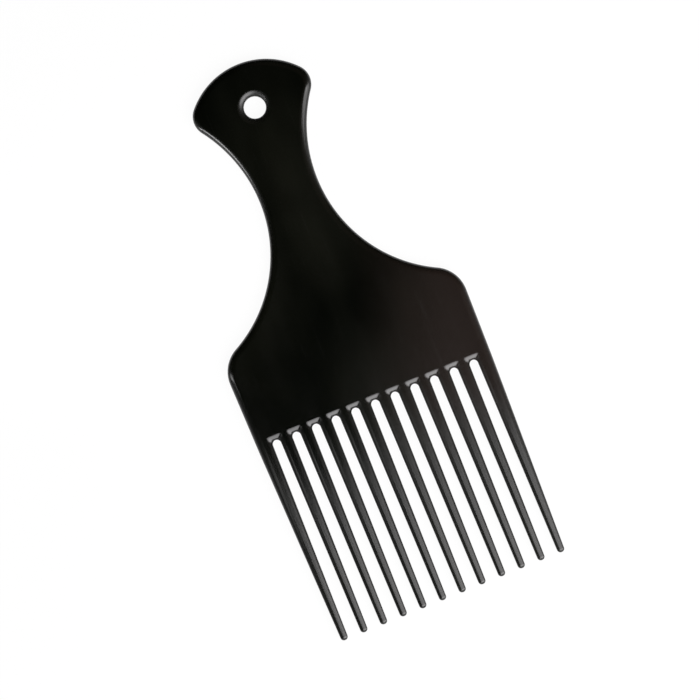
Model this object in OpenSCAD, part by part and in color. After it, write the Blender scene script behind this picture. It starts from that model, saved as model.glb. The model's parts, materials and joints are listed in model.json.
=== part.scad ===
// Afro pick: a fan-shaped handle with a hanging hole, a waisted neck, a wide blade and a row of
// long tapered teeth, all one plastic moulding. It is drawn as the regions that a person would
// name, which meet face to face.
// The pick lies flat: X runs across the teeth, Y from the tips up to the handle, and Z through the
// thickness. The origin is the middle of the lower face. A drop is a distance down from the top of
// the handle.

/* [Overall] */
// Length from the top of the handle to the tips of the teeth
overall_length = 170; // [155:1:200]
// Thickness of the handle and the blade
thickness = 4; // [3:0.1:6]
// How far the soft rim rounds in from the side, round the handle and the blade
rim_width = 2.3; // [0.6:0.1:2.6]
// Height of the upright strip at mid thickness, where the two halves of the mould meet
parting_land = 0.6; // [0.2:0.1:1.4]

/* [Handle] */
// Width of the fan at its widest
handle_width = 37; // [30:0.5:44]
// Radius of the arc over the top of the fan
crown_radius = 22.8; // [19.5:0.1:40]
// Radius of the two rounded corners of the fan
corner_radius = 5.9; // [3:0.1:10]
// Width of the neck at its narrowest
neck_width = 18.5; // [12:0.5:28]
// Drop of the narrowest part of the neck
neck_drop = 40.4; // [32:0.2:52]

/* [Hanging hole] */
// Diameter of the hole
hole_diameter = 6.6; // [4:0.1:9]
// Drop of the middle of the hole
hole_drop = 13.8; // [10:0.1:24]
// How far the hole's rounded rim reaches out over the face
hole_rim_width = 2; // [0.4:0.1:2.8]
// How deep the hole's rounded rim reaches into the hole
hole_rim_depth = 1.4; // [0.3:0.1:1.7]

/* [Blade] */
// Width of the blade at the shoulders
blade_width = 75.4; // [66:0.2:90]
// Radius of the rounded shoulders
shoulder_radius = 10.1; // [6:0.1:16]
// Drop of the centre of the shoulder arcs, where the blade is widest
shoulder_drop = 87; // [72:0.5:96]
// How far each side of the blade has drawn in at the roots of the teeth
root_draw = 0.35; // [0:0.05:3]

/* [Teeth] */
// Number of teeth
tooth_count = 12; // [8:1:14]
// Length of a tooth, from the top of the slots beside it to its tip
tooth_length = 62.7; // [45:0.1:68]
// Width of each end tooth at its root
end_tooth_width = 4.6; // [4.2:0.05:6]
// Width of a slot at the roots of the teeth
slot_width = 2.6; // [2:0.1:3.2]
// Width of a tooth at its tip
tip_width = 2.2; // [1.2:0.05:2.4]
// Thickness of a tooth at its tip
tip_thickness = 2.2; // [1.2:0.1:3]
// How far each side of the row has drawn in at the tips
tip_draw = 2; // [0:0.1:4]
// How deep the rounded edges of the teeth and the slots reach down from the face
edge_depth = 0.95; // [0.3:0.05:1.6]
// How far the rounded flank of a tooth reaches in over the face, at its root
flank_width = 1.3; // [0.3:0.1:1.5]
// How far the rounded root above a slot runs up the face
root_rise = 1.7; // [0.4:0.1:3]

/* [Hidden] */
// Degrees of a curve to one flat, round the outline
arc_step = 5;
// Steps of the soft rim, from the upright strip to the face
rim_steps = 5;
// Shares of a tooth's length where its section is drawn
tooth_station_shares = [0, 0.2, 0.4, 0.6, 0.8, 1];
// Angles of the sections that round off a tip
tip_angles = [25, 45, 65, 80];
// How late the tooth thins: 1 is an even taper, more keeps the root thick
thinning_power = 1.5;
// How much of a tip's half width its rounded flank takes
tip_round_share = 0.95;
// Squareness of the slot's top: 2 is a half ellipse, more has tighter corners
arch_square_wall = 2;
arch_square_face = 8;
// Degrees between the points of the slot's top
arch_turn = 15;
// Roundness of the hole
hole_facets = 96;
// How far a cut runs past the face it opens on
overrun = 0.4;
// Black plastic, as it looks in soft light
black = "#1b1a17";

mid = thickness / 2;
rim_height = (thickness - parting_land) / 2;
edge_height = min(edge_depth, rim_height);
slots = tooth_count - 1;

// Drops and places
top_y = overall_length / 2;
slot_top_drop = overall_length - tooth_length;
root_drop = slot_top_drop + slot_width / 2;
root_y = top_y - root_drop;
tip_y = top_y - overall_length;
tip_round = tip_width / 2;

// The row of teeth
root_row = blade_width - 2 * root_draw;
tip_row = blade_width - 2 * tip_draw;
pitch = (root_row - 2 * end_tooth_width - slot_width) / (slots - 1);

// Centres of the arcs of the right-hand outline, as [x, drop]. The crown touches the corner arc
// from outside it, and each neck arc touches the convex arc that it runs into.
corner_x = handle_width / 2 - corner_radius;
corner_drop = crown_radius - sqrt(pow(crown_radius - corner_radius, 2) - pow(corner_x, 2));
corner = [corner_x, corner_drop];
shoulder = [blade_width / 2 - shoulder_radius, shoulder_drop];
waist = neck_width / 2;
fan_neck_radius = neck_radius(corner, corner_radius);
blade_neck_radius = neck_radius(shoulder, shoulder_radius);
crown_turn = asin(corner_x / (crown_radius - corner_radius));
fan_neck_turn = asin((neck_drop - corner_drop) / (fan_neck_radius + corner_radius));
blade_neck_turn = asin((shoulder_drop - neck_drop) / (blade_neck_radius + shoulder_radius));
side_turn = atan((blade_width - root_row) / 2 / (root_drop - shoulder_drop));

// Levels through the thickness, from the lower face to the upper: [which half, angle round the edge]
half_levels = [for (k = [0 : rim_steps]) k * 90 / rim_steps];
levels = concat([for (k = [rim_steps : -1 : 0]) [-1, half_levels[k]]], [for (a = half_levels) [1, a]]);

function tooth_name(i) = str("tooth_", i < 10 ? "0" : "", i);

// Radius of the neck arc that is upright at the waist and touches the convex arc at a centre
function neck_radius(centre, radius) =
    let (across = waist - centre.x, along = centre.y - neck_drop)
    (pow(across, 2) + pow(along, 2) - pow(radius, 2)) / (2 * (radius - across));

// A rounding is a quarter ellipse, from an upright side at its depth below the face up to the face.
// Height of a level of it above or below mid thickness
function level_z(level, depth) = level[0] * (mid - depth * (1 - sin(level[1])));

// Share of its width that it has reached at a level
function level_share(level) = 1 - cos(level[1]);

function rim_inset(level) = rim_width * level_share(level);

// Points of an arc about a centre. Angles are degrees from +X towards the top of the pick.
function arc(centre, radius, from, to, skip_first = true) =
    let (steps = max(2, ceil(abs(to - from) / arc_step)))
    [for (k = [skip_first ? 1 : 0 : steps])
        let (a = from + (to - from) * k / steps)
        [centre.x + radius * cos(a), top_y - centre.y + radius * sin(a)]];

// Right-hand outline of the handle, drawn in by an inset: crown, corner, and neck down to the waist
function handle_side(inset) = concat(
    arc([0, crown_radius], crown_radius - inset, 90, 90 - crown_turn, false),
    arc(corner, corner_radius - inset, 90 - crown_turn, -fan_neck_turn),
    arc([waist + fan_neck_radius, neck_drop], fan_neck_radius + inset, 180 - fan_neck_turn, 180));

// Right-hand outline of the blade, drawn in by an inset: neck, shoulder, and side down to the root
function blade_side(inset) = concat(
    arc([waist + blade_neck_radius, neck_drop], blade_neck_radius + inset, 180, 180 + blade_neck_turn, false),
    arc(shoulder, shoulder_radius - inset, blade_neck_turn, -side_turn),
    [[root_row / 2 - inset, root_y]]);

// Triangles between two rings of n points that start at indexes a and b
function band(n, a, b) =
    [for (j = [0 : n - 1]) let (k = (j + 1) % n) each [[a + j, a + k, b + k], [a + j, b + k, b + j]]];

function bands(n, rings) = [for (k = [0 : rings - 2]) each band(n, k * n, (k + 1) * n)];

// A list of indexes, backwards
function backwards(list) = [for (k = [len(list) - 1 : -1 : 0]) list[k]];

// A symmetric plate with a soft rim. sides holds one right-hand outline for each level, from the
// top of the plate down, and the left-hand half mirrors it. The faces are strips from side to side.
module plate(sides) {
    count = len(sides[0]);
    pointed = sides[0][0].x == 0;
    n = pointed ? 2 * count - 1 : 2 * count;
    rings = [for (k = [0 : len(levels) - 1]) let (z = mid + level_z(levels[k], rim_height))
        each concat([for (p = sides[k]) [p.x, p.y, z]],
                    [for (i = [count - 1 : -1 : (pointed ? 1 : 0)]) [-sides[k][i].x, sides[k][i].y, z]])];
    strips = [for (i = [0 : count - 2])
        let (left = [(2 * count - 1 - i) % n, 2 * count - 2 - i])
        left[0] == i ? [i, i + 1, left[1]] : [i, i + 1, left[1], left[0]]];
    last = (len(levels) - 1) * n;
    polyhedron(rings, concat(
        [for (s = strips) backwards(s)],
        bands(n, len(levels)),
        [for (s = strips) [for (v = s) v + last]]));
}

module handle() {
    color(black)
    difference() {
        plate([for (level = levels) handle_side(rim_inset(level))]);
        translate([0, top_y - hole_drop, 0]) hole_cut();
    }
}

// The hanging hole: a true bore with a rounded rim on both faces
module hole_cut() {
    bore = hole_diameter / 2;
    depth = min(hole_rim_depth, rim_height);
    quarter = [for (level = levels) if (level[0] > 0)
        [bore + hole_rim_width * level_share(level), mid - level_z(level, depth)]];
    wide = bore + hole_rim_width;
    rotate_extrude($fn = hole_facets)
        polygon(concat(
            [[0, -overrun], [wide, -overrun]],
            backwards(quarter),
            [for (p = quarter) [p.x, thickness - p.y]],
            [[wide, thickness + overrun], [0, thickness + overrun]]));
}

module blade() {
    color(black)
    difference() {
        plate([for (level = levels) blade_side(rim_inset(level))]);
        for (j = [1 : slots])
            translate([slot_x(j), root_y, 0]) slot_cut();
    }
}

// Middle of slot j, counted from the left
function slot_x(j) = (j - (slots + 1) / 2) * pitch;

// Outline of a slot's arched top where a share of its rounding is reached. The corners tighten
// soonest near the wall.
function slot_outline(share) =
    let (half = slot_width / 2 + flank_width * share,
         rise = slot_width / 2 + root_rise * share,
         power = 2 / (arch_square_wall + (arch_square_face - arch_square_wall) * sqrt(min(share, 1))))
    concat([[-half, -overrun]],
           [for (a = [180 : -arch_turn : 0])
               [half * sign(cos(a)) * pow(abs(cos(a)), power), rise * pow(sin(a), power)]],
           [[half, -overrun]]);

// The arched root of one slot, rounded into both faces. The slope of the last step carries on past
// the faces.
module slot_cut() {
    last = len(levels) - 1;
    below_face = levels[last - 1];
    past_share = 1 + overrun * (1 - level_share(below_face)) / (mid - level_z(below_face, edge_height));
    rings = [for (k = [0 : last])
        let (outer = k == 0 || k == last,
             share = outer ? past_share : level_share(levels[k]),
             z = mid + (outer ? levels[k][0] * (mid + overrun) : level_z(levels[k], edge_height)))
        [for (p = slot_outline(share)) [p.x, p.y, z]]];
    n = len(rings[0]);
    ring = [for (j = [0 : n - 1]) j];
    polyhedron([for (r = rings) each r], concat(
        [backwards(ring)],
        bands(n, len(rings)),
        [[for (j = ring) j + last * n]]));
}

// Left and right edges of tooth i at mid thickness, at its root and at its tip
function root_edges(i) = [
    i == 1 ? -root_row / 2 : slot_x(i - 1) + slot_width / 2,
    i == tooth_count ? root_row / 2 : slot_x(i) - slot_width / 2];

function tip_edges(i) =
    let (root = root_edges(i),
         outermost = (tip_row - tip_width) / 2,
         middle = i == 1 ? -outermost : i == tooth_count ? outermost : (root[0] + root[1]) / 2)
    [middle - tip_width / 2, middle + tip_width / 2];

// One side of the section of a tooth at a share of its length, as [inset, height over mid] at each
// level. The outer side of an end tooth starts as the soft rim, and any other side as a rounded
// flank. Both end as the round flank of the tip.
function flank(share, is_rim) =
    let (root = is_rim ? [rim_width, rim_height] : [flank_width, edge_height],
         tip = [tip_round_share * tip_width / 2, edge_height],
         size = root + (tip - root) * share,
         thin = 1 + (tip_thickness / thickness - 1) * pow(share, thinning_power))
    [for (level = levels) [size[0] * level_share(level), thin * level_z(level, size[1])]];

// Section of tooth i at a share of its length
function tooth_section(i, share) =
    let (edges = root_edges(i) + (tip_edges(i) - root_edges(i)) * share)
    concat(
        [for (p = backwards(flank(share, i == tooth_count))) [edges[1] - p.x, mid + p.y]],
        [for (p = flank(share, i == 1)) [edges[0] + p.x, mid + p.y]]);

// One tooth: tapered sections from the root, then a rounded tip that closes on a point
module tooth(i) {
    tip = tip_edges(i);
    centre = [(tip[0] + tip[1]) / 2, mid];
    shaft = [for (share = tooth_station_shares)
        let (y = root_y + (tip_y + tip_round - root_y) * share)
        [for (p = tooth_section(i, share)) [p.x, y, p.y]]];
    nose = [for (a = tip_angles)
        let (y = tip_y + tip_round * (1 - sin(a)))
        [for (p = tooth_section(i, 1)) let (q = centre + (p - centre) * cos(a)) [q.x, y, q.y]]];
    rings = concat(shaft, nose);
    n = len(rings[0]);
    last = (len(rings) - 1) * n;
    point = len(rings) * n;
    color(black)
    polyhedron(concat([for (r = rings) each r], [[centre.x, tip_y, mid]]), concat(
        [backwards([for (j = [0 : n - 1]) j])],
        bands(n, len(rings)),
        [for (j = [0 : n - 1]) [last + j, last + (j + 1) % n, point]]));
}

handle();
blade();
for (i = [1 : tooth_count])
    tooth(i);
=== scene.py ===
"""The looks of the afro pick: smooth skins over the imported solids, black plastic, and a plain studio.

Sizes in the classes are millimetres, in the pick's own frame: X runs across the teeth, Y from the
tips up to the handle, and Z up from the surface that it lies on.
"""
import json
import logging
import math
from dataclasses import dataclass, field
from enum import Enum

import bpy
import numpy as np
from mathutils import Matrix, Vector
from mathutils.geometry import delaunay_2d_cdt


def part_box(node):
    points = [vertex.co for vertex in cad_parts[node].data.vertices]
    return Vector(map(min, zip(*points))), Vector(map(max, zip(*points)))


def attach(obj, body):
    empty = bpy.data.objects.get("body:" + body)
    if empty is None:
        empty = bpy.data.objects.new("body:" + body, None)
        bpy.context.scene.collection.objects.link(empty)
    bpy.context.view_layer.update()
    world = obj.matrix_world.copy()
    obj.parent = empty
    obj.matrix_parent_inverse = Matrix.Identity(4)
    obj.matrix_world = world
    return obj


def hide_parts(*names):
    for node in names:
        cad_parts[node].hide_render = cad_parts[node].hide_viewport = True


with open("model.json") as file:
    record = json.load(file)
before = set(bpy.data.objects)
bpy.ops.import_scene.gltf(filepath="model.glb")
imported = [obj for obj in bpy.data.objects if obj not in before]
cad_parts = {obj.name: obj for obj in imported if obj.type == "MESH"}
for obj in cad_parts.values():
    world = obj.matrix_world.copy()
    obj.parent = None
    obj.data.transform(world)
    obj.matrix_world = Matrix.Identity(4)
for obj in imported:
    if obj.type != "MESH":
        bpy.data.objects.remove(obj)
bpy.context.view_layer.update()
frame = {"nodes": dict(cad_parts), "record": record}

Array = np.ndarray
Pair = tuple[float, float]
Triple = tuple[float, float, float]
Colour = tuple[float, float, float, float]
MM = 0.001
WELD_DIGITS = 6
SAME_POINT = 1e-7
NO_LENGTH = 1e-12
TRIANGLES_INSIDE = 1
TOWARDS_TIPS = np.array([0.0, -1.0, 0.0])
TOWARDS_HANDLE = np.array([0.0, 1.0, 0.0])
UP = np.array([0.0, 0.0, 1.0])
WHITE = (1, 1, 1, 1)
DAYLIGHT = (1.0, 0.99, 1.0)
log = logging.getLogger("afro_pick")


def unit(vectors: Array) -> Array:
    """Vectors scaled to length one."""
    return vectors / np.maximum(np.linalg.norm(vectors, axis=-1, keepdims=True), NO_LENGTH)


def box_mm(node: str) -> tuple[Array, Array]:
    """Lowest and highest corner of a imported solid, in millimetres."""
    low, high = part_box(node)
    return np.array(low) / MM, np.array(high) / MM


def add_object(name: str, data: bpy.types.ID) -> bpy.types.Object:
    """Puts an object into the scene.

    Args:
        name: of the object.
        data: its mesh, lamp or camera.
    Returns:
        The object.
    """
    made = bpy.data.objects.new(name, data)
    bpy.context.scene.collection.objects.link(made)
    return made


def facing_of(grid: Array, outward: Array) -> Array:
    """The way that a grid of points faces.

    The facing is the cross product of the differences along the rows and down the columns, turned to
    the side on which the outward hint lies.

    Args:
        grid: rows x columns x 3 points.
        outward: a hint that broadcasts to the grid, on the outer side of the surface.
    Returns:
        Unit vectors in the shape of the grid.
    """
    across = np.gradient(grid, axis=1)
    along = np.gradient(grid, axis=0)
    normal = unit(np.cross(across, along))
    side = np.sign(np.sum(normal * outward, axis=-1, keepdims=True))
    return normal * np.where(side == 0, 1, side)


class Half(Enum):
    """The two halves of the mould, as the direction from mid thickness."""

    LOWER = -1
    UPPER = 1


class Flank(Enum):
    """The two sides of a tooth, as the direction from its middle."""

    LEFT = -1
    RIGHT = 1


# One side of a plate: for each half of the mould, a grid of points and the way that they face.
Side = dict[Half, tuple[Array, Array]]


@dataclass(frozen=True)
class Blank:
    """Sizes that the regions of the moulding share.

    Attributes:
        thickness: of the handle and the blade.
        neck_width: at the narrowest line, where the handle and the blade meet.
        rim_width: how far the soft rim rounds in round the outline.
        parting_land: height of the upright strip where the halves of the mould meet.
        rim_steps: steps of a rim from its upright strip to the face.
        face_spacing: between the points that fill a flat face.
    """

    thickness: float
    neck_width: float = 18.5
    rim_width: float = 2.3
    parting_land: float = 0.6
    rim_steps: int = 24
    face_spacing: float = 2.5

    @property
    def mid(self) -> float:
        """Mid thickness."""
        return self.thickness / 2

    @property
    def rim_depth(self) -> float:
        """How deep the soft rim reaches down from the face."""
        return (self.thickness - self.parting_land) / 2

    @property
    def turns(self) -> Array:
        """Angles round a rim, from its upright strip to the face."""
        return np.linspace(0, math.pi / 2, self.rim_steps + 1)

    def level(self, half: Half, depth: Array | float) -> Array:
        """Height of a depth below the face of one half."""
        return self.mid + half.value * (self.mid - np.asarray(depth, float))


@dataclass
class Shell:
    """A closed skin, gathered as patches of four-cornered faces and welded where they meet.

    A triangle is a face whose last two corners are the same. Each corner carries the way its surface
    faces, so a crease stays crisp.

    Attributes:
        name: of the mesh.
        corners: of the faces, n x 4 x 3 for each patch.
        facings: of those corners, in the same shapes.
    """

    name: str
    corners: list[Array] = field(default_factory=list)
    facings: list[Array] = field(default_factory=list)

    def add_grid(self, points: Array, facing: Array) -> None:
        """Adds a grid of points as faces.

        Args:
            points: rows x columns x 3.
            facing: unit vectors that broadcast to the grid.
        """
        facing = np.broadcast_to(facing, points.shape)
        for store, values in ((self.corners, points), (self.facings, facing)):
            quads = np.stack([values[:-1, :-1], values[1:, :-1], values[1:, 1:], values[:-1, 1:]], axis=2)
            store.append(quads.reshape(-1, 4, 3))

    def add_triangles(self, points: Array, triangles: Array, facing: Array) -> None:
        """Adds flat triangles.

        Args:
            points: n x 3.
            triangles: m x 3 indexes into the points.
            facing: the one way that they all face.
        """
        quads = points[triangles[:, [0, 1, 2, 2]]]
        self.corners.append(quads)
        self.facings.append(np.broadcast_to(facing, quads.shape))

    def weld(self) -> tuple[Array, Array, Array, Array]:
        """Joins the patches into vertices and faces.

        Corners that round to the same millionth of a millimetre become one vertex. A face that looks
        away from the mean of its corners' facings is turned round, and repeated corners are dropped.

        Returns:
            The vertices, the vertex and the facing of each corner of a face, and each face's first
            corner.
        """
        corners = np.concatenate(self.corners)
        facings = unit(np.concatenate(self.facings))
        flat = np.cross(corners[:, 2] - corners[:, 0], corners[:, 3] - corners[:, 1])
        turned = np.sum(flat * facings.sum(axis=1), axis=1) < 0
        corners[turned] = corners[turned][:, ::-1]
        facings[turned] = facings[turned][:, ::-1]
        keys = np.round(corners.reshape(-1, 3), WELD_DIGITS)
        points, index = np.unique(keys, axis=0, return_inverse=True)
        index = index.reshape(-1, 4)
        kept = index != np.roll(index, 1, axis=1)
        whole = kept.sum(axis=1) > 2
        index, kept, facings = index[whole], kept[whole], facings[whole]
        starts = np.concatenate([[0], np.cumsum(kept.sum(axis=1))[:-1]])
        return points, index[kept], facings[kept], starts

    def mesh(self) -> bpy.types.Mesh:
        """Makes the welded mesh.

        A point is rubbed by 4 t (1 - t), where t is the most that a face there looks up or down, so
        rounded edges are rubbed and a crisp seam isn't.

        Returns:
            The mesh, in metres, with its own corner normals and a point attribute named rubbed.
        """
        points, loops, normals, starts = self.weld()
        mesh = bpy.data.meshes.new(self.name)
        mesh.vertices.add(len(points))
        mesh.vertices.foreach_set("co", (points * MM).astype(np.float32).ravel())
        mesh.loops.add(len(loops))
        mesh.loops.foreach_set("vertex_index", loops.astype(np.int32))
        mesh.polygons.add(len(starts))
        mesh.polygons.foreach_set("loop_start", starts.astype(np.int32))
        mesh.polygons.foreach_set("use_smooth", np.ones(len(starts), bool))
        mesh.update(calc_edges=True)
        mesh.normals_split_custom_set(normals.tolist())

        tilt = np.zeros(len(points))
        np.maximum.at(tilt, loops, np.abs(normals[:, 2]))
        rubbed = mesh.attributes.new("rubbed", "FLOAT", "POINT")
        rubbed.data.foreach_set("value", (4 * tilt * (1 - tilt)).astype(np.float32))
        return mesh


def fill_plan(outline: Array, spacing: float, hole: Array | None = None,
              clear_share: float = 0.6) -> tuple[Array, Array]:
    """Even triangles over a flat outline.

    A square lattice of points is laid over the outline. Points outside it or close to its points are
    dropped, and the rest is joined to the outline by constrained Delaunay triangles. Triangles with
    all three corners on the round hole's outline fill the hole and are dropped.

    Args:
        outline: n x 2 points in order round the plan.
        spacing: of the lattice, in millimetres.
        hole: m x 2 points in order round a hole, or None.
        clear_share: share of the spacing that is kept clear round the outline's points.
    Returns:
        The points, with the outline's first, and the triangles as indexes.
    """
    loops = [outline] if hole is None else [outline, hole]
    edge_points = np.concatenate(loops)
    low, high = outline.min(axis=0), outline.max(axis=0)
    axes = [np.arange(a + spacing / 2, b, spacing) for a, b in zip(low, high)]
    lattice = np.stack(np.meshgrid(*axes), axis=-1).reshape(-1, 2)
    inside = np.zeros(len(lattice), bool)
    clear = np.ones(len(lattice), bool)
    for loop in loops:
        start, end = loop, np.roll(loop, -1, axis=0)
        dx, dy = (end - start).T
        px, py = lattice[:, :1] - start[:, 0], lattice[:, 1:] - start[:, 1]
        crosses = (py < 0) != (py < dy)
        with np.errstate(divide="ignore", invalid="ignore"):
            hit = crosses & (px < dx * py / dy)
        inside ^= hit.sum(axis=1) % 2 == 1
        clear &= np.hypot(px, py).min(axis=1) > clear_share * spacing
    points = np.concatenate([edge_points, lattice[inside & clear]])
    edges = []
    first = 0
    for loop in loops:
        count = len(loop)
        edges += [(first + k, first + (k + 1) % count) for k in range(count)]
        first += count
    made = delaunay_2d_cdt([Vector(p) for p in points], edges, [], TRIANGLES_INSIDE, SAME_POINT)
    source = np.array([given[0] for given in made[3]])
    triangles = source[np.array(made[2])]
    in_hole = (triangles >= len(outline)) & (triangles < len(edge_points))
    return points, triangles[~in_hole.all(axis=1)]


@dataclass(frozen=True)
class Arc:
    """A stretch of the plan outline on a circle.

    Attributes:
        centre: of the circle.
        radius: of the circle.
        start: angle of the first point, in degrees from +X towards +Y.
        end: angle of the last point.
        hollow: True where the plastic lies outside the circle.
        step: degrees between points, at the most.
        coarse_radius: of the largest circle for which that is enough.
        fewest_steps: on the shortest arc.
    """

    centre: Pair
    radius: float
    start: float
    end: float
    hollow: bool = False
    step: float = 1.0
    coarse_radius: float = 30.0
    fewest_steps: int = 6

    def walk(self) -> tuple[Array, Array]:
        """Points centre + r (cos a, sin a) along the arc.

        Returns:
            The points, and the way out of the plastic at each.
        """
        finer = max(1, self.radius / self.coarse_radius)
        count = max(self.fewest_steps, math.ceil(abs(self.end - self.start) / self.step * finer))
        a = np.radians(np.linspace(self.start, self.end, count + 1))
        ray = np.stack([np.cos(a), np.sin(a)], axis=1)
        return np.array(self.centre) + self.radius * ray, -ray if self.hollow else ray


def walk_arcs(arcs: list[Arc]) -> tuple[Array, Array]:
    """Joins arcs that touch end to end.

    Args:
        arcs: in order.
    Returns:
        One run of points, and the way out of the plastic at each.
    """
    walks = [arc.walk() for arc in arcs]
    points = np.concatenate([walks[0][0]] + [w[0][1:] for w in walks[1:]])
    outward = np.concatenate([walks[0][1]] + [w[1][1:] for w in walks[1:]])
    return points, outward


def neck_radius(waist: Array, centre: Array, radius: float) -> float:
    """Radius of the neck arc that is upright at the waist and touches a round corner.

    With d across and e along from the corner's centre to the waist, it is
    (d^2 + e^2 - r^2) / (2 (r - d)).
    """
    across, along = waist - centre
    return (across ** 2 + along ** 2 - radius ** 2) / (2 * (radius - across))


@dataclass
class Plate:
    """A flat region with the soft rim on its free sides and straight seams to its neighbours.

    Attributes:
        blank: sizes that the regions of the moulding share.
        low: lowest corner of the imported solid's box.
        high: its highest corner.
    """

    blank: Blank
    low: Array
    high: Array

    def rim_grids(self, points: Array, outward: Array) -> Side:
        """The soft rim along one run of the outline.

        Over a point M of the outline with outward direction n, at the angle a round the rim, the
        surface is M - n w(1 - cos a), d(1 - sin a) below the face, and it faces along n d cos a and
        up w sin a, where w and d are the rim's width and depth.

        Args:
            points: n x 2 points at mid thickness.
            outward: n x 2 unit directions.
        Returns:
            For each half, the grid of points, rows up from the strip, and its facing.
        """
        width, depth = self.blank.rim_width, self.blank.rim_depth
        turns = self.blank.turns[:, None, None]
        plan = points[None] - outward[None] * width * (1 - np.cos(turns))
        one = np.ones(plan.shape[:2] + (1,))
        out = outward[None] * depth * np.cos(turns)
        grids = {}
        for half in Half:
            height = self.blank.level(half, depth * (1 - np.sin(turns))) * one
            up = half.value * width * np.sin(turns) * one
            facing = unit(np.concatenate([out, up], axis=2))
            grids[half] = (np.concatenate([plan, height], axis=2), facing)
        return grids

    def add_side(self, shell: Shell, grids: Side) -> None:
        """Adds both halves of a side and the upright strip between them.

        Args:
            shell: gathers the patches.
            grids: of the side.
        """
        for points, facing in grids.values():
            shell.add_grid(points, facing)
        strip = np.stack([grids[Half.LOWER][0][0], grids[Half.UPPER][0][0]])
        level = grids[Half.UPPER][1][0] * np.array([1, 1, 0])
        shell.add_grid(strip, np.stack([unit(level), unit(level)]))

    def add_seam(self, shell: Shell, ends: tuple[tuple[Side, int], ...], facing: Array) -> None:
        """Closes the plate across a seam.

        Args:
            shell: gathers the patch.
            ends: the two sides that end on the seam, each with its index of that end, 0 or -1.
            facing: the way out across the seam.
        """
        columns = [np.concatenate([side[Half.LOWER][0][::-1, end], side[Half.UPPER][0][:, end]])
                   for side, end in ends]
        shell.add_grid(np.stack(columns, axis=1), facing)

    def add_faces(self, shell: Shell, sides: list[Side], hole: Array | None = None) -> None:
        """Fills the lower and the upper face between the inner edges of the sides.

        Args:
            shell: gathers the patches.
            sides: all round the plan, in order.
            hole: m x 2 points in order round a hole, or None.
        """
        outline = np.concatenate([side[Half.UPPER][0][-1, :, :2] for side in sides])
        before = np.roll(outline, 1, axis=0)
        repeated = np.all(np.isclose(outline, before, atol=SAME_POINT), axis=1)
        flat, triangles = fill_plan(outline[~repeated], self.blank.face_spacing, hole)
        for half in Half:
            height = np.full((len(flat), 1), float(self.blank.level(half, 0)))
            points = np.concatenate([flat, height], axis=1)
            shell.add_triangles(points, triangles, half.value * UP)


def mirrored(side: Side) -> Side:
    """The same side on the other half of the pick, walked the other way."""
    flip = np.array([-1, 1, 1])
    return {half: (points[:, ::-1] * flip, facing[:, ::-1] * flip)
            for half, (points, facing) in side.items()}


@dataclass
class Handle(Plate):
    """The fan of the handle with its hanging hole, down to the narrowest line of the neck.

    Attributes:
        hole_centre: middle of the hanging hole in the plan.
        hole_radius: of its upright wall.
        hole_wall: height of that wall.
        hole_rim_width: how far its rim rounds out over the face.
        hole_steps: points round it.
        crown_radius: of the top.
        corner_radius: of the corners beside the top.
    """

    hole_centre: Pair
    hole_radius: float
    hole_wall: float
    hole_rim_width: float = 2.0
    hole_steps: int = 160
    crown_radius: float = 22.8
    corner_radius: float = 5.9

    def corner_centre(self) -> Array:
        """Centre of the right-hand corner arc, which touches the crown from inside.

        Returns:
            Its X and Y.
        """
        x = self.high[0] - self.corner_radius
        gap = self.crown_radius - self.corner_radius
        down = self.crown_radius - math.sqrt(gap ** 2 - x ** 2)
        return np.array([x, self.high[1] - down])

    def outline(self) -> tuple[Array, Array]:
        """Right-hand outline: crown, corner and neck, as arcs that touch.

        Returns:
            The points from the top down, and the way out of the plastic at each.
        """
        corner = self.corner_centre()
        waist = np.array([self.blank.neck_width / 2, self.low[1]])
        radius = neck_radius(waist, corner, self.corner_radius)
        crown_turn = math.degrees(math.asin(corner[0] / (self.crown_radius - self.corner_radius)))
        neck_turn = math.degrees(math.asin((corner[1] - waist[1]) / (radius + self.corner_radius)))
        return walk_arcs([
            Arc((0, self.high[1] - self.crown_radius), self.crown_radius, 90, 90 - crown_turn),
            Arc(tuple(corner), self.corner_radius, 90 - crown_turn, -neck_turn, step=3),
            Arc((waist[0] + radius, waist[1]), radius, 180 - neck_turn, 180, hollow=True)])

    def hole_grid(self) -> tuple[Array, Array]:
        """The hanging hole: its upright wall and, on both faces, its rounded rim.

        A profile is turned once about the hole's axis. The rim is a quarter ellipse from the wall to
        the face, like the soft rim of the outline, but it faces the axis.

        Returns:
            The grid, rows up from the lower face, and its facing.
        """
        turns = self.blank.turns
        depth = (self.blank.thickness - self.hole_wall) / 2
        radii = self.hole_radius + self.hole_rim_width * (1 - np.cos(turns))
        rise = self.blank.mid - depth * (1 - np.sin(turns))
        inward, up = -depth * np.cos(turns), self.hole_rim_width * np.sin(turns)
        radii, inward = (np.concatenate([row[::-1], row])[:, None] for row in (radii, inward))
        rise, up = (np.concatenate([-row[::-1], row])[:, None] for row in (rise, up))
        spin = np.linspace(0, 2 * math.pi, self.hole_steps + 1)[None]
        ray = np.stack([np.cos(spin), np.sin(spin)], axis=2)
        one = np.ones(spin.shape + (1,))
        grid = np.concatenate([np.array(self.hole_centre) + radii[..., None] * ray,
                               (self.blank.mid + rise)[..., None] * one], axis=2)
        grid[:, -1] = grid[:, 0]
        facing = np.concatenate([inward[..., None] * ray, up[..., None] * one], axis=2)
        return grid, unit(facing)

    def build(self) -> bpy.types.Mesh:
        """Builds the handle.

        Returns:
            Its closed skin.
        """
        shell = Shell("handle_skin")
        right = self.rim_grids(*self.outline())
        left = mirrored(right)
        self.add_side(shell, right)
        self.add_side(shell, left)
        self.add_seam(shell, ((left, 0), (right, -1)), TOWARDS_TIPS)
        hole, facing = self.hole_grid()
        shell.add_grid(hole, facing)
        self.add_faces(shell, [right, left], hole[0, :-1, :2])
        return shell.mesh()


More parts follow.
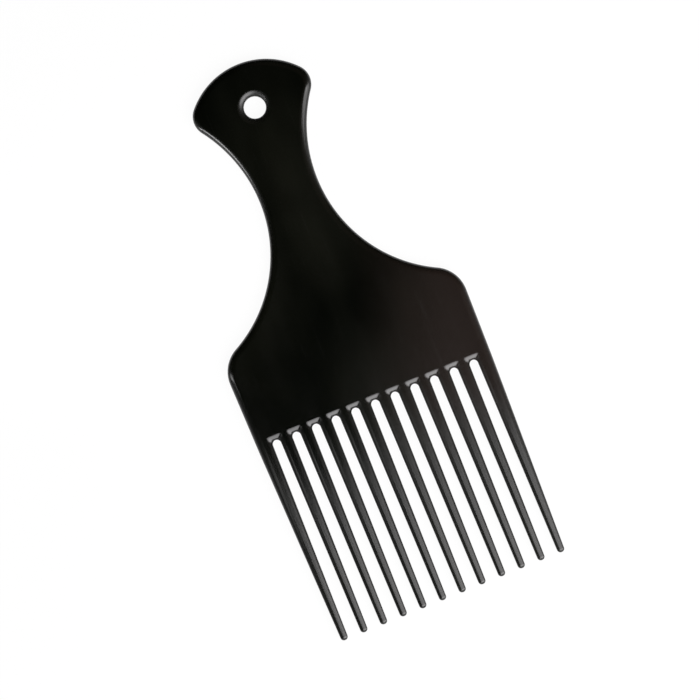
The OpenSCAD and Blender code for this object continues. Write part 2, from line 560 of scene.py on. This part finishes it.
@dataclass(frozen=True)
class SlotEdge:
    """How the wall of a slot rounds into the face.

    Attributes:
        half: half the slot's width.
        depth: how deep the rounding reaches down from the face.
        flank_width: how far it reaches in on the flank of a tooth.
        root_width: how far it runs up the face above the slot.
        squareness: 2 makes the outline above the slot an ellipse, more a rounded rectangle; that of
            the wall first, then that on the face.
    """

    half: float
    depth: float = 0.95
    flank_width: float = 1.3
    root_width: float = 1.7
    squareness: Pair = (2.0, 8.0)

    def arch(self, blank: Blank, half: Half, steps: int = 120) -> tuple[Array, Array]:
        """The arched, sloped root above a slot whose round top is centred on the origin.

        At each level the outline is a superellipse, |x/p|^n + |y/q|^n = 1, where p and q grow with
        the quarter ellipses of the flank and the root, and n with the square root of their share.

        Args:
            blank: the shared sizes.
            half: of the mould.
            steps: rays from the right-hand end to the left.
        Returns:
            The grid, rows up from the wall, and its facing, out of the plastic.
        """
        a = np.linspace(0, math.pi, steps + 1)
        ray = np.stack([np.cos(a), np.sin(a)], axis=1)
        turns = blank.turns[:, None]
        share = 1 - np.cos(turns)
        power = self.squareness[0] + (self.squareness[1] - self.squareness[0]) * np.sqrt(share)
        across = np.abs(ray[:, 0]) / (self.half + self.flank_width * share)
        above = ray[:, 1] / (self.half + self.root_width * share)
        reach = (across ** power + above ** power) ** (-1 / power)
        height = blank.level(half, self.depth * (1 - np.sin(turns))) * np.ones_like(reach)
        grid = np.concatenate([reach[..., None] * ray, height[..., None]], axis=2)
        hint = np.concatenate([-np.broadcast_to(ray, grid.shape[:2] + (2,)),
                               np.full(grid.shape[:2] + (1,), half.value)], axis=2)
        facing = facing_of(grid, hint)
        facing[0, :, 2] = 0
        facing[-1] = (0, 0, half.value)
        return grid, unit(facing)


@dataclass
class Blade(Plate):
    """The neck below its waist, the shoulders, and the body down to the roots of the teeth.

    Attributes:
        edge: how the slots round into the faces.
        slot_places: middle of each slot along X, from the left.
        shoulder_radius: of the two round shoulders.
        shoulder_rise: of their centres over the roots.
        root_draw: how far each side has drawn in at the roots.
        side_steps: of a straight side.
    """

    edge: SlotEdge
    slot_places: Array
    shoulder_radius: float = 10.1
    shoulder_rise: float = 21.6
    root_draw: float = 0.35
    side_steps: int = 15

    def outline(self) -> tuple[Array, Array]:
        """Right-hand outline: neck and shoulder arcs, then the side down to the root.

        Returns:
            The points from the waist down, and the way out of the plastic at each.
        """
        shoulder = np.array([self.high[0] - self.shoulder_radius, self.low[1] + self.shoulder_rise])
        waist = np.array([self.blank.neck_width / 2, self.high[1]])
        radius = neck_radius(waist, shoulder, self.shoulder_radius)
        fall = waist[1] - shoulder[1]
        neck_turn = math.degrees(math.asin(fall / (radius + self.shoulder_radius)))
        side_turn = math.degrees(math.atan(self.root_draw / self.shoulder_rise))
        points, outward = walk_arcs([
            Arc((waist[0] + radius, waist[1]), radius, 180, 180 + neck_turn, hollow=True),
            Arc(tuple(shoulder), self.shoulder_radius, neck_turn, -side_turn, step=2)])
        foot = np.array([self.high[0] - self.root_draw, self.low[1]])
        run = np.linspace(0, 1, self.side_steps + 1)[1:, None]
        side = points[-1] * (1 - run) + foot * run
        return (np.concatenate([points, side]),
                np.concatenate([outward, np.repeat(outward[-1:], len(side), axis=0)]))

    def roots(self) -> list[Side]:
        """The arched roots above the slots.

        Returns:
            A side for each slot, from right to left.
        """
        arch = {half: self.edge.arch(self.blank, half) for half in Half}
        shifts = [np.array([place, self.low[1], 0]) for place in self.slot_places[::-1]]
        return [{half: (grid + shift, facing) for half, (grid, facing) in arch.items()}
                for shift in shifts]

    def build(self) -> bpy.types.Mesh:
        """Builds the blade.

        Returns:
            Its closed skin.
        """
        shell = Shell("blade_skin")
        right = self.rim_grids(*self.outline())
        left = mirrored(right)
        sides = [right, *self.roots(), left]
        for side in sides:
            self.add_side(shell, side)
        self.add_seam(shell, ((left, -1), (right, 0)), TOWARDS_HANDLE)
        for near, far in zip(sides[:-1], sides[1:]):
            self.add_seam(shell, ((far, 0), (near, -1)), TOWARDS_TIPS)
        self.add_faces(shell, sides)
        return shell.mesh()


@dataclass
class Tooth:
    """One tooth: rounded flanks that narrow with it, a taper, and a round tip.

    Attributes:
        blank: sizes that the regions of the moulding share.
        edge: how the slots beside it round into the faces.
        name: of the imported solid.
        root: each side's edge at the root, at mid thickness.
        tip: each side's edge where the round tip starts.
        root_y: where the tooth starts.
        tip_y: where it ends.
        rims: the sides that carry on the soft rim.
        tip_thickness: where the round tip starts.
        tip_round_share: share of the tip's half width that its flanks round.
        thinning_power: 1 makes the tooth thin evenly, more makes it thin late.
        forward_hint: how far a flank is taken to look along Y, where its side is in doubt.
        shaft_steps: from the root to the round tip.
        nose_steps: round the tip.
    """

    blank: Blank
    edge: SlotEdge
    name: str
    root: dict[Flank, float]
    tip: dict[Flank, float]
    root_y: float
    tip_y: float
    rims: tuple[Flank, ...]
    tip_thickness: float = 2.2
    tip_round_share: float = 0.95
    thinning_power: float = 1.5
    forward_hint: float = -0.2
    shaft_steps: int = 64
    nose_steps: int = 14

    @property
    def tip_radius(self) -> float:
        """Radius of the round tip in the plan."""
        return (self.tip[Flank.RIGHT] - self.tip[Flank.LEFT]) / 2

    def stations(self) -> tuple[Array, Array, Array]:
        """Where the sections lie.

        Returns:
            Share of the taper, place along Y, and size of the section, which is cos a on the round
            tip, where Y is the tip's end plus r (1 - sin a).
        """
        shaft = np.linspace(0, 1, self.shaft_steps + 1)
        a = np.linspace(0, math.pi / 2, self.nose_steps + 1)[1:]
        share = np.concatenate([shaft, np.ones_like(a)])
        along = np.concatenate([self.root_y + (self.tip_y + self.tip_radius - self.root_y) * shaft,
                                self.tip_y + self.tip_radius * (1 - np.sin(a))])
        return share, along, np.concatenate([np.ones_like(shaft), np.cos(a)])

    def side_grid(self, half: Half, flank: Flank) -> Array:
        """Points of one side of one half.

        With the share s of the taper, the rounding's width and depth go evenly from those of the
        slot's edge, or of the soft rim, to those of the round tip. The height is multiplied by
        1 + (tip / full - 1) s^p, and the round tip shrinks the section towards its middle.

        Args:
            half: of the mould.
            flank: which side.
        Returns:
            The grid, stations x steps up from the wall.
        """
        share, along, size = self.stations()
        s, size = share[:, None], size[:, None]
        width, depth = self.edge.flank_width, self.edge.depth
        if flank in self.rims:
            width, depth = self.blank.rim_width, self.blank.rim_depth
        width = width * (1 - s) + self.tip_round_share * self.tip_radius * s
        depth = depth * (1 - s) + self.edge.depth * s
        turns = self.blank.turns[None]
        edge = self.root[flank] * (1 - s) + self.tip[flank] * s
        middle = sum(self.root.values()) / 2 * (1 - s) + sum(self.tip.values()) / 2 * s
        x = edge - flank.value * width * (1 - np.cos(turns))
        thin = 1 + (self.tip_thickness / self.blank.thickness - 1) * s ** self.thinning_power
        z = half.value * thin * (self.blank.mid - depth * (1 - np.sin(turns)))
        y = np.broadcast_to(along[:, None], x.shape)
        return np.stack([middle + (x - middle) * size, y, self.blank.mid + z * size], axis=2)

    def add_flank(self, shell: Shell, grid: Array, out: float, up: float,
                  slope: Array | None = None) -> None:
        """Adds a grid of one flank, which looks along the tooth at the tip's end.

        Args:
            shell: gathers the patch.
            grid: stations x points from the wall in.
            out: which way it looks along X.
            up: which way it looks along Z.
            slope: facing of its inner edge, one for each station, or None to work it out.
        """
        facing = facing_of(grid, np.array([out, self.forward_hint, up]))
        if slope is not None:
            facing[:, -1] = slope
        facing[-1] = TOWARDS_TIPS
        shell.add_grid(grid, facing)

    def build(self) -> bpy.types.Mesh:
        """Builds the tooth.

        Returns:
            Its closed skin.
        """
        shell = Shell(f"{self.name}_skin")
        grids = {(half, flank): self.side_grid(half, flank) for half in Half for flank in Flank}
        for half in Half:
            flat = np.stack([grids[half, flank][:, -1] for flank in Flank], axis=1)
            slope = facing_of(flat, half.value * UP)
            slope[-1] = slope[-2]
            shell.add_grid(flat, slope)
            for flank in Flank:
                self.add_flank(shell, grids[half, flank], flank.value, half.value, slope[:, 0])
        for flank in Flank:
            strip = np.stack([grids[half, flank][:, 0] for half in Half], axis=1)
            self.add_flank(shell, strip, flank.value, 0)
        columns = [np.concatenate([grids[Half.LOWER, flank][0][::-1], grids[Half.UPPER, flank][0]])
                   for flank in Flank]
        shell.add_grid(np.stack(columns, axis=1), TOWARDS_HANDLE)
        return shell.mesh()


class Bench:
    """The nodes of a material or of the room, and the one place where they are made."""

    COLOUR_A, COLOUR_B, COLOUR_RESULT = 6, 7, 2

    def __init__(self, owner: bpy.types.Material | bpy.types.World) -> None:
        """Starts the nodes afresh.

        Args:
            owner: whose nodes they are.
        """
        owner.use_nodes = True
        self.tree = owner.node_tree
        self.tree.nodes.clear()

    def node(self, kind: str, settings: dict | None = None,
             sockets: dict | None = None) -> bpy.types.Node:
        """Makes one node.

        Args:
            kind: the node's type.
            settings: its properties, set first.
            sockets: input name or number to a value or a Signal.
        Returns:
            The node.
        """
        made = self.tree.nodes.new(kind)
        for name, value in (settings or {}).items():
            setattr(made, name, value)
        for name, value in (sockets or {}).items():
            if isinstance(value, Signal):
                self.tree.links.new(value.socket, made.inputs[name])
            else:
                made.inputs[name].default_value = value
        return made

    def signals(self, kind: str, outputs: tuple[int | str, ...], settings: dict | None = None,
                sockets: dict | None = None) -> list["Signal"]:
        """Makes one node and wraps some of its outputs."""
        made = self.node(kind, settings, sockets)
        return [Signal(self, made.outputs[output]) for output in outputs]

    def signal(self, kind: str, settings: dict | None = None, sockets: dict | None = None,
               output: int | str = 0) -> "Signal":
        """Makes one node and wraps one of its outputs."""
        return self.signals(kind, (output,), settings, sockets)[0]

    def mix(self, share: "Signal | float", a: "Signal | tuple", b: "Signal | tuple") -> "Signal":
        """Colour a where the share is 0, colour b where it is 1."""
        return self.signal("ShaderNodeMix", {"data_type": "RGBA"},
                           {0: share, self.COLOUR_A: a, self.COLOUR_B: b}, self.COLOUR_RESULT)

    def mix_shaders(self, share: "Signal", a: "Signal", b: "Signal") -> "Signal":
        """Shader a where the share is 0, shader b where it is 1."""
        return self.signal("ShaderNodeMixShader", sockets={0: share, 1: a, 2: b})

    def step(self, value: "Signal", low: float, high: float) -> "Signal":
        """Smooth step from 0 to 1 as a value goes from low to high, held at both ends."""
        return self.signal("ShaderNodeMapRange", {"interpolation_type": "SMOOTHSTEP"},
                           {"Value": value, "From Min": low, "From Max": high})

    def distance(self, place: "Signal", centre: Triple) -> "Signal":
        """How far a place lies from a centre."""
        return self.signal("ShaderNodeVectorMath", {"operation": "DISTANCE"},
                           {0: place, 1: centre}, "Value")


class Signal:
    """A socket that takes part in sums, so that shader maths reads as an expression."""

    def __init__(self, bench: Bench, socket: bpy.types.NodeSocket) -> None:
        """Wraps an output socket."""
        self.bench = bench
        self.socket = socket

    def combine(self, operation: str, first: "Signal | float", second: "Signal | float") -> "Signal":
        """Adds the Math node of one sum."""
        return self.bench.signal("ShaderNodeMath", {"operation": operation}, {0: first, 1: second})

    def __add__(self, other: "Signal | float") -> "Signal":
        """self + other."""
        return self.combine("ADD", self, other)

    def __radd__(self, other: float) -> "Signal":
        """other + self."""
        return self.combine("ADD", other, self)

    def __sub__(self, other: "Signal | float") -> "Signal":
        """self - other."""
        return self.combine("SUBTRACT", self, other)

    def __rsub__(self, other: float) -> "Signal":
        """other - self."""
        return self.combine("SUBTRACT", other, self)

    def __mul__(self, other: "Signal | float") -> "Signal":
        """self * other."""
        return self.combine("MULTIPLY", self, other)

    def __rmul__(self, other: float) -> "Signal":
        """other * self."""
        return self.combine("MULTIPLY", other, self)

    def __pow__(self, other: float) -> "Signal":
        """self to a power."""
        return self.combine("POWER", self, other)


def weighted(masks: dict[str, Signal], weights: dict[str, float]) -> Signal:
    """Sum of the named masks, each times its weight."""
    terms = [masks[name] * weight for name, weight in weights.items()]
    return sum(terms[1:], terms[0])


@dataclass(frozen=True)
class Noise:
    """A noise over the plastic, even or drawn out.

    Attributes:
        scale: swells in a metre along X, Y and Z.
        detail: how many finer layers it has.
        turn: about Z, in radians.
        cut: noise values between which its mask rises from 0 to 1.
    """

    scale: Triple
    detail: float = 2.0
    turn: float = 0.0
    cut: Pair = (0.0, 1.0)

    def value(self, bench: Bench, place: Signal) -> Signal:
        """The noise itself."""
        drawn = bench.signal("ShaderNodeMapping", sockets={
            "Vector": place, "Rotation": (0, 0, self.turn), "Scale": self.scale})
        return bench.signal("ShaderNodeTexNoise", sockets={
            "Vector": drawn, "Scale": 1.0, "Detail": self.detail})

    def mask(self, bench: Bench, place: Signal) -> Signal:
        """The noise, cut to a mask."""
        return bench.step(self.value(bench, place), *self.cut)


@dataclass(frozen=True)
class BlackPlastic:
    """Polished black moulding plastic, rubbed by hands and hair. Its places are in metres.

    Attributes:
        root_y: where the teeth start.
        tip_y: where they end.
        hole: middle of the hanging hole on the upper face.
        deep: colour of the plastic where it is cleanest.
        pale: colour towards which marks and rubbing drift.
        painted_sheen: warm colour painted low on the blade's right side, a painted warm reflection.
        flow_marks: left along the pick by the moulding.
        grain: fine unevenness of the mould.
        hairlines: scratches along the pick.
        cross_lines: scratches across it.
        cross_share: depth of those, where a hairline has 1.
        clouds: broad patches.
        grip: middle of the held patch, after the squeeze.
        grip_squeeze: scale that makes this long patch round.
        grip_edge: distances from its middle where it starts and where it is whole.
        hook_edge: the same for what hooks rub round the hole.
        sheen_lean: share of a point's Y that counts against its X, for the painted reflection.
        sheen_edge: the rest of X where the painted reflection starts and where it is whole.
        sheen_fade: how far the painted reflection reaches down the teeth.
        sheen_clouding: share of the painted reflection that clouds break up.
        sheen_rubbing: share of the painted reflection that rubbed, rounded edges lose.
        gloss: roughness of the polished faces.
        paling: share of the pale colour that each mask adds.
        dulling: roughness that each mask adds.
        relief: height that each mask adds, as a share of the bump's distance.
    """

    root_y: float
    tip_y: float
    hole: Triple
    deep: Colour = (0.0004, 0.0007, 0.0002, 1)
    pale: Colour = (0.0084, 0.0086, 0.0056, 1)
    # painted reflection: a warm tint that stands in for a warm reflection low on the blade's right side
    painted_sheen: Colour = (0.0108, 0.0074, 0.0059, 1)
    flow_marks: Noise = Noise(scale=(55, 18, 55), detail=3.0, cut=(0.3, 0.7))
    grain: Noise = Noise(scale=(900, 900, 900), detail=3.0)
    hairlines: Noise = Noise(scale=(2600, 46, 2600), turn=0.09, cut=(0.66, 0.76))
    cross_lines: Noise = Noise(scale=(1900, 60, 1900), turn=1.25, cut=(0.69, 0.78))
    cross_share: float = 0.7
    clouds: Noise = Noise(scale=(42, 26, 42), cut=(0.36, 0.64))
    grip: Triple = (0, 0.0076, 0)
    grip_squeeze: Triple = (1, 0.2, 1)
    grip_edge: Pair = (0.009, 0.003)
    hook_edge: Pair = (0.0062, 0.0048)
    sheen_lean: float = 0.3
    sheen_edge: Pair = (0.0, 0.036)
    sheen_fade: float = 0.03
    sheen_clouding: float = 0.3
    sheen_rubbing: float = 0.5
    gloss: float = 0.1
    paling: dict[str, float] = field(default_factory=lambda: {
        "cloud": 0.22, "flow": 0.12, "rubbed": 0.12, "tooth": 0.12, "held": 0.14,
        "held cloud": 0.1})
    dulling: dict[str, float] = field(default_factory=lambda: {
        "flow": 0.04, "grain": 0.03, "scratch": 0.06, "tooth": 0.1, "rubbed": 0.09,
        "hooked": 0.27})
    relief: dict[str, float] = field(default_factory=lambda: {
        "flow": 0.6, "grain": 0.02, "scratch": -0.05})

    def masks(self, bench: Bench) -> dict[str, Signal]:
        """What marks the plastic, and how much at each point.

        Noises give the flow marks, the grain, the scratches and the clouds. The mesh's attribute
        tells where it is rubbed. The tooth mask grows from the roots to the tips. Distances give the
        held patch and the hooked rim, which takes the square root of the rubbing. The painted warm
        reflection grows towards the blade's lower right, fades along the teeth, and is thinner between
        clouds and on rubbed edges.

        Args:
            bench: of the material.
        Returns:
            The masks by name.
        """
        place = bench.signal("ShaderNodeTexCoord", output="Object")
        across, along = bench.signals("ShaderNodeSeparateXYZ", ("X", "Y"), sockets={0: place})
        rubbed = bench.signal("ShaderNodeAttribute", {"attribute_name": "rubbed"}, output="Fac")
        squeezed = bench.signal("ShaderNodeMapping", sockets={
            "Vector": place, "Scale": self.grip_squeeze})
        cross_lines = self.cross_lines.mask(bench, place) * self.cross_share
        cloud = self.clouds.mask(bench, place)
        held = bench.step(bench.distance(squeezed, self.grip), *self.grip_edge)
        hooked = bench.step(bench.distance(place, self.hole), *self.hook_edge)
        # painted warm reflection: grows towards the blade's lower right, a colour standing in for light
        painted_sheen = bench.step(across - along * self.sheen_lean, *self.sheen_edge)
        painted_sheen = painted_sheen * bench.step(along, self.root_y - self.sheen_fade, self.root_y)
        painted_sheen = painted_sheen * (1 - (1 - cloud) * self.sheen_clouding) * (1 - rubbed * self.sheen_rubbing)
        return {"flow": self.flow_marks.mask(bench, place),
                "grain": self.grain.value(bench, place),
                "scratch": self.hairlines.mask(bench, place) + cross_lines,
                "cloud": cloud,
                "rubbed": rubbed,
                "tooth": bench.step(along, self.root_y, self.tip_y),
                "held": held,
                "held cloud": held * cloud,
                "hooked": hooked * rubbed ** 0.5,
                "painted_sheen": painted_sheen}

    def material(self, name: str) -> bpy.types.Material:
        """Builds the material.

        Masks, each times its weight, drift the colour from deep to pale, add to the roughness, and
        add to the height of the bump. The painted warm reflection covers the colour last.

        Args:
            name: of the material.
        Returns:
            The material.
        """
        made = bpy.data.materials.new(name)
        bench = Bench(made)
        masks = self.masks(bench)
        colour = bench.mix(weighted(masks, self.paling), self.deep, self.pale)
        bump = bench.signal("ShaderNodeBump", sockets={
            "Strength": 0.35, "Distance": 0.00012, "Height": weighted(masks, self.relief)})
        surface = bench.signal("ShaderNodeBsdfPrincipled", sockets={
            # the painted warm reflection is mixed over the plastic's own colour here
            "Base Color": bench.mix(masks["painted_sheen"], colour, self.painted_sheen),
            "Roughness": self.gloss + weighted(masks, self.dulling),
            "Normal": bump, "IOR": 1.5})
        bench.node("ShaderNodeOutputMaterial", sockets={"Surface": surface})
        return made


@dataclass(frozen=True)
class Camera:
    """Looks straight down, turned as the photograph is.

    Attributes:
        centre: the point of the pick's frame in the middle of the picture.
        turn: how far the pick's Y leans to the left in the picture, in degrees.
        field_width: width of the picture at mid thickness.
        distance: height over mid thickness.
        sensor: width of the sensor.
    """

    centre: Pair = (-0.97, -5.92)
    turn: float = 22.136
    field_width: float = 207.35
    distance: float = 1000.0
    sensor: float = 36.0

    def place(self, height: float) -> None:
        """Makes the camera the scene's own.

        Args:
            height: of mid thickness.
        """
        data = bpy.data.cameras.new("camera")
        data.sensor_width = self.sensor
        data.lens = self.sensor * self.distance / self.field_width
        data.clip_start, data.clip_end = 0.05, 50
        made = add_object("camera", data)
        made.location = (self.centre[0] * MM, self.centre[1] * MM, (height + self.distance) * MM)
        made.rotation_euler = (0, 0, -math.radians(self.turn))
        bpy.context.scene.camera = made


@dataclass(frozen=True)
class Softbox:
    """A flat lamp.

    Attributes:
        name: of the lamp.
        place: of its middle, in metres.
        aim: the point that it faces, in metres.
        size: width and height, in metres.
        radiance: how bright its face looks, where 1 is white paper.
        along: the way that its height runs, as nearly as its face allows.
        spread: how wide its light opens, in degrees; less than 180 as with a grid on its face.
        colour: of its light.
    """

    name: str
    place: Triple
    aim: Triple
    size: Pair
    radiance: float
    along: Triple = (0, 0, 1)
    spread: float = 180.0
    colour: Triple = (1, 1, 1)

    def hang(self) -> None:
        """Hangs the lamp.

        Its power is pi times its radiance times its area, times 1 - h / tan h where a grid narrows
        its light to the half angle h, so that it looks as bright from straight ahead.
        """
        data = bpy.data.lights.new(self.name, "AREA")
        data.shape = "RECTANGLE"
        data.size, data.size_y = self.size
        data.spread = math.radians(self.spread)
        opening = data.spread / 2
        grid = 1 - opening / math.tan(opening)
        data.energy = math.pi * self.radiance * self.size[0] * self.size[1] * grid
        data.color = self.colour
        made = add_object(self.name, data)
        away = (Vector(self.place) - Vector(self.aim)).normalized()
        up = Vector(self.along)
        up = (up - away * up.dot(away)).normalized()
        made.location = self.place
        made.rotation_euler = Matrix((up.cross(away), up, away)).transposed().to_euler()


def daylight() -> tuple[Softbox, ...]:
    """The lamps.

    A soft window at the tips' end is dimmer at its left edge, near the zenith and far out to the
    right. A strip lights the left rim of the handle, and a card the left flanks of the teeth.

    Returns:
        The window in its four parts, the strip and the card.
    """
    return (
        Softbox("window", place=(0.295, -0.413, 0.519), aim=(0.295, 0.067, 0.069),
                size=(0.65, 0.53), radiance=7.0, colour=DAYLIGHT),
        Softbox("curtain", place=(-0.08, -0.413, 0.519), aim=(-0.08, 0.067, 0.069),
                size=(0.1, 0.53), radiance=5.2, colour=DAYLIGHT),
        Softbox("blind", place=(0.26, -0.1751, 0.7725), aim=(0.26, 0.305, 0.3225),
                size=(0.72, 0.165), radiance=3.8, colour=DAYLIGHT),
        Softbox("wing", place=(0.96, -0.382, 0.552), aim=(0.96, 0.098, 0.102),
                size=(0.68, 0.62), radiance=2.8, colour=DAYLIGHT),
        Softbox("strip", place=(-0.1265, 0.0172, 0.0715), aim=(-0.014, 0.063, 0.004),
                size=(0.0173, 0.094), radiance=14.0, along=(0.56, -0.335, 0.758), spread=80.0),
        Softbox("card", place=(-0.15, -0.055, 0.265), aim=(0, -0.04, 0.004),
                size=(0.025, 0.18), radiance=1.6),
    )


@dataclass(frozen=True)
class Studio:
    """A pale floor, lamps, and a dim room that is white to the camera.

    Attributes:
        lamps: that hang in it.
        floor_rings: radii of the floor's rings of points, in metres.
        floor_points: round each ring.
        floor_gap: between the floor and the pick's lower face, in metres.
        paper: colour of the floor.
        shown_share: how much of the floor that the camera sees is plain white, and not lit paper.
        gloss_share: the same for the floor's reflection in the plastic.
        room: colour of the room, as light and in reflections.
        warm: colour of the room overhead, to the right.
        warm_share: how far the room turns to it.
        glow: brightness of the room all round.
        low_glow: what is added low down on the side of the tips.
        warm_glow: what is added overhead, to the right.
        low_side: Y of a direction where the low glow starts and where it is whole.
        warm_side: X of a direction, the same for the warm glow.
        overhead: Z of a direction, the same for the warm glow.
    """

    lamps: tuple[Softbox, ...]
    floor_rings: tuple[float, ...] = (0.0, 0.2, 1.0, 4.0, 12.0)
    floor_points: int = 96
    floor_gap: float = 0.00005
    paper: Colour = (0.86, 0.86, 0.86, 1)
    shown_share: float = 0.95
    gloss_share: float = 0.5
    room: Colour = (1.0, 1.0, 1.04, 1)
    warm: Colour = (1.0, 0.76, 0.68, 1)
    warm_share: float = 0.9
    glow: float = 0.006
    low_glow: float = 0.8
    warm_glow: float = 0.05
    low_side: Pair = (0.3, -0.3)
    warm_side: Pair = (0.02, 0.1)
    overhead: Pair = (0.3, 0.85)

    def floor_material(self) -> bpy.types.Material:
        """White to the camera and in gloss, but for a share of lit paper that keeps the shadow.

        Returns:
            The material.
        """
        made = bpy.data.materials.new("paper")
        bench = Bench(made)
        camera, through, gloss = bench.signals("ShaderNodeLightPath", (
            "Is Camera Ray", "Is Transmission Ray", "Is Glossy Ray"))
        seen = (camera + through) * self.shown_share + gloss * self.gloss_share
        lit = bench.signal("ShaderNodeBsdfDiffuse", sockets={"Color": self.paper})
        white = bench.signal("ShaderNodeEmission", sockets={"Color": WHITE, "Strength": 1.0})
        clear = bench.signal("ShaderNodeBsdfTransparent")
        under = bench.signal("ShaderNodeNewGeometry", output="Backfacing")
        surface = bench.mix_shaders(under, bench.mix_shaders(seen, lit, white), clear)
        bench.node("ShaderNodeOutputMaterial", sockets={"Surface": surface})
        return made

    def lay_floor(self) -> bpy.types.Object:
        """A round sheet of paper under the pick, as rings of points r (cos a, sin a).

        Returns:
            The sheet.
        """
        radius = np.array(self.floor_rings)[:, None]
        turn = np.linspace(0, 2 * math.pi, self.floor_points + 1)[None]
        level = np.full((radius.size, turn.size), -self.floor_gap)
        grid = np.stack([radius * np.cos(turn), radius * np.sin(turn), level], axis=2) / MM
        grid[:, -1] = grid[:, 0]
        shell = Shell("floor")
        shell.add_grid(grid, UP)
        made = add_object("floor", shell.mesh())
        made.data.materials.append(self.floor_material())
        return made

    def light_room(self) -> None:
        """White behind everything that the camera sees, and a dim room for light and gloss.

        The room glows low down on the side of the tips, and a little overhead to the right, where
        it is warmer.
        """
        world = bpy.data.worlds.new("room")
        bench = Bench(world)
        seen = bench.signal("ShaderNodeLightPath", output="Is Camera Ray")
        way = bench.signal("ShaderNodeTexCoord", output="Generated")
        x, y, z = bench.signals("ShaderNodeSeparateXYZ", ("X", "Y", "Z"), sockets={0: way})
        low = bench.step(y, *self.low_side) * (1 - bench.step(z, 0.0, 1.0))
        warm = bench.step(x, *self.warm_side) * bench.step(z, *self.overhead)
        dim = bench.signal("ShaderNodeBackground", sockets={
            "Color": bench.mix(warm * self.warm_share, self.room, self.warm),
            "Strength": self.glow + low * self.low_glow + warm * self.warm_glow})
        white = bench.signal("ShaderNodeBackground", sockets={"Color": WHITE, "Strength": 1.0})
        surface = bench.mix_shaders(seen, dim, white)
        bench.node("ShaderNodeOutputWorld", sockets={"Surface": surface})
        bpy.context.scene.world = world

    def set_up(self) -> None:
        """Lays the floor, hangs the lamps and lights the room."""
        self.lay_floor()
        for lamp in self.lamps:
            lamp.hang()
        self.light_room()


@dataclass
class Pick:
    """The whole moulding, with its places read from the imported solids.

    Attributes:
        slot: name of the record's material slot.
        tip_draw: how far each side of the row has drawn in at the tips.
        tip_width: width of a tooth at its tip.
    """

    slot: str = "black_plastic"
    tip_draw: float = 2.0
    tip_width: float = 2.2

    def __post_init__(self) -> None:
        """Reads the solids' boxes from the frame. The second and third tooth give the slots."""
        self.handle_box = box_mm("handle")
        self.blade_box = box_mm("blade")
        self.tooth_names = sorted(name for name in frame["nodes"] if name.startswith("tooth_"))
        self.tooth_boxes = [box_mm(name) for name in self.tooth_names]
        self.blank = Blank(thickness=float(self.handle_box[1][2] - self.handle_box[0][2]))
        (second_left, second_right), third_left = self.tooth_span(1), self.tooth_span(2)[0]
        half = (third_left - second_right) / 2
        self.edge = SlotEdge(half=half)
        pitch = third_left - second_left
        self.slot_places = second_left - half + pitch * np.arange(len(self.tooth_names) - 1)

    def tooth_span(self, index: int) -> Pair:
        """Left and right end of one packed tooth."""
        low, high = self.tooth_boxes[index]
        return float(low[0]), float(high[0])

    def hole(self) -> dict[str, float | Pair]:
        """Place and sizes of the hanging hole, from the record's mount."""
        mount = next(m for m in frame["record"]["mounts"] if m["name"] == "hanging_hole")
        return {"hole_centre": (mount["pos_m"][0] / MM, mount["pos_m"][1] / MM),
                "hole_radius": mount["dims"]["r_mm"], "hole_wall": mount["dims"]["length_mm"]}

    def tooth(self, index: int) -> Tooth:
        """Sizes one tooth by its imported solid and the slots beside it.

        Args:
            index: 0 for the left end tooth.
        Returns:
            The tooth.
        """
        last = len(self.tooth_names) - 1
        low, high = self.tooth_boxes[index]
        left, right = self.tooth_span(index)
        if index > 0:
            left = float(self.slot_places[index - 1]) + self.edge.half
        if index < last:
            right = float(self.slot_places[index]) - self.edge.half
        outermost = float(self.blade_box[1][0]) - self.tip_draw - self.tip_width / 2
        middle = {0: -outermost, last: outermost}.get(index, (left + right) / 2)
        return Tooth(blank=self.blank, edge=self.edge, name=self.tooth_names[index],
                     root={Flank.LEFT: left, Flank.RIGHT: right},
                     tip={flank: middle + flank.value * self.tip_width / 2 for flank in Flank},
                     root_y=float(high[1]), tip_y=float(low[1]),
                     rims={0: (Flank.LEFT,), last: (Flank.RIGHT,)}.get(index, ()))

    def dress(self, node: str, mesh: bpy.types.Mesh, finish: bpy.types.Material) -> None:
        """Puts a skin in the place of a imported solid, with its finish and its body.

        Args:
            node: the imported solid.
            mesh: the skin.
            finish: its material.
        """
        made = add_object(f"{node}_skin", mesh)
        made.data.materials.append(finish)
        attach(made, "root")
        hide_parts(node)
        log.info("%s: %d faces", made.name, len(mesh.polygons))

    def build(self) -> None:
        """Builds and dresses every region."""
        hole = self.hole()
        handle = Handle(self.blank, *self.handle_box, **hole)
        blade = Blade(self.blank, *self.blade_box, self.edge, self.slot_places)
        teeth = [self.tooth(index) for index in range(len(self.tooth_names))]
        finish = BlackPlastic(
            root_y=teeth[0].root_y * MM, tip_y=teeth[0].tip_y * MM,
            hole=tuple(c * MM for c in (*hole["hole_centre"], self.blank.thickness)),
        ).material(self.slot)
        self.dress("handle", handle.build(), finish)
        self.dress("blade", blade.build(), finish)
        for tooth in teeth:
            self.dress(tooth.name, tooth.build(), finish)


def main() -> None:
    """Builds the pick and the studio."""
    logging.basicConfig(level=logging.INFO, format="%(name)s: %(message)s")
    pick = Pick()
    pick.build()
    Camera().place(pick.blank.mid)
    Studio(lamps=daylight()).set_up()
    bpy.context.scene.view_settings.view_transform = "Standard"


if __name__ == "__main__":
    main()
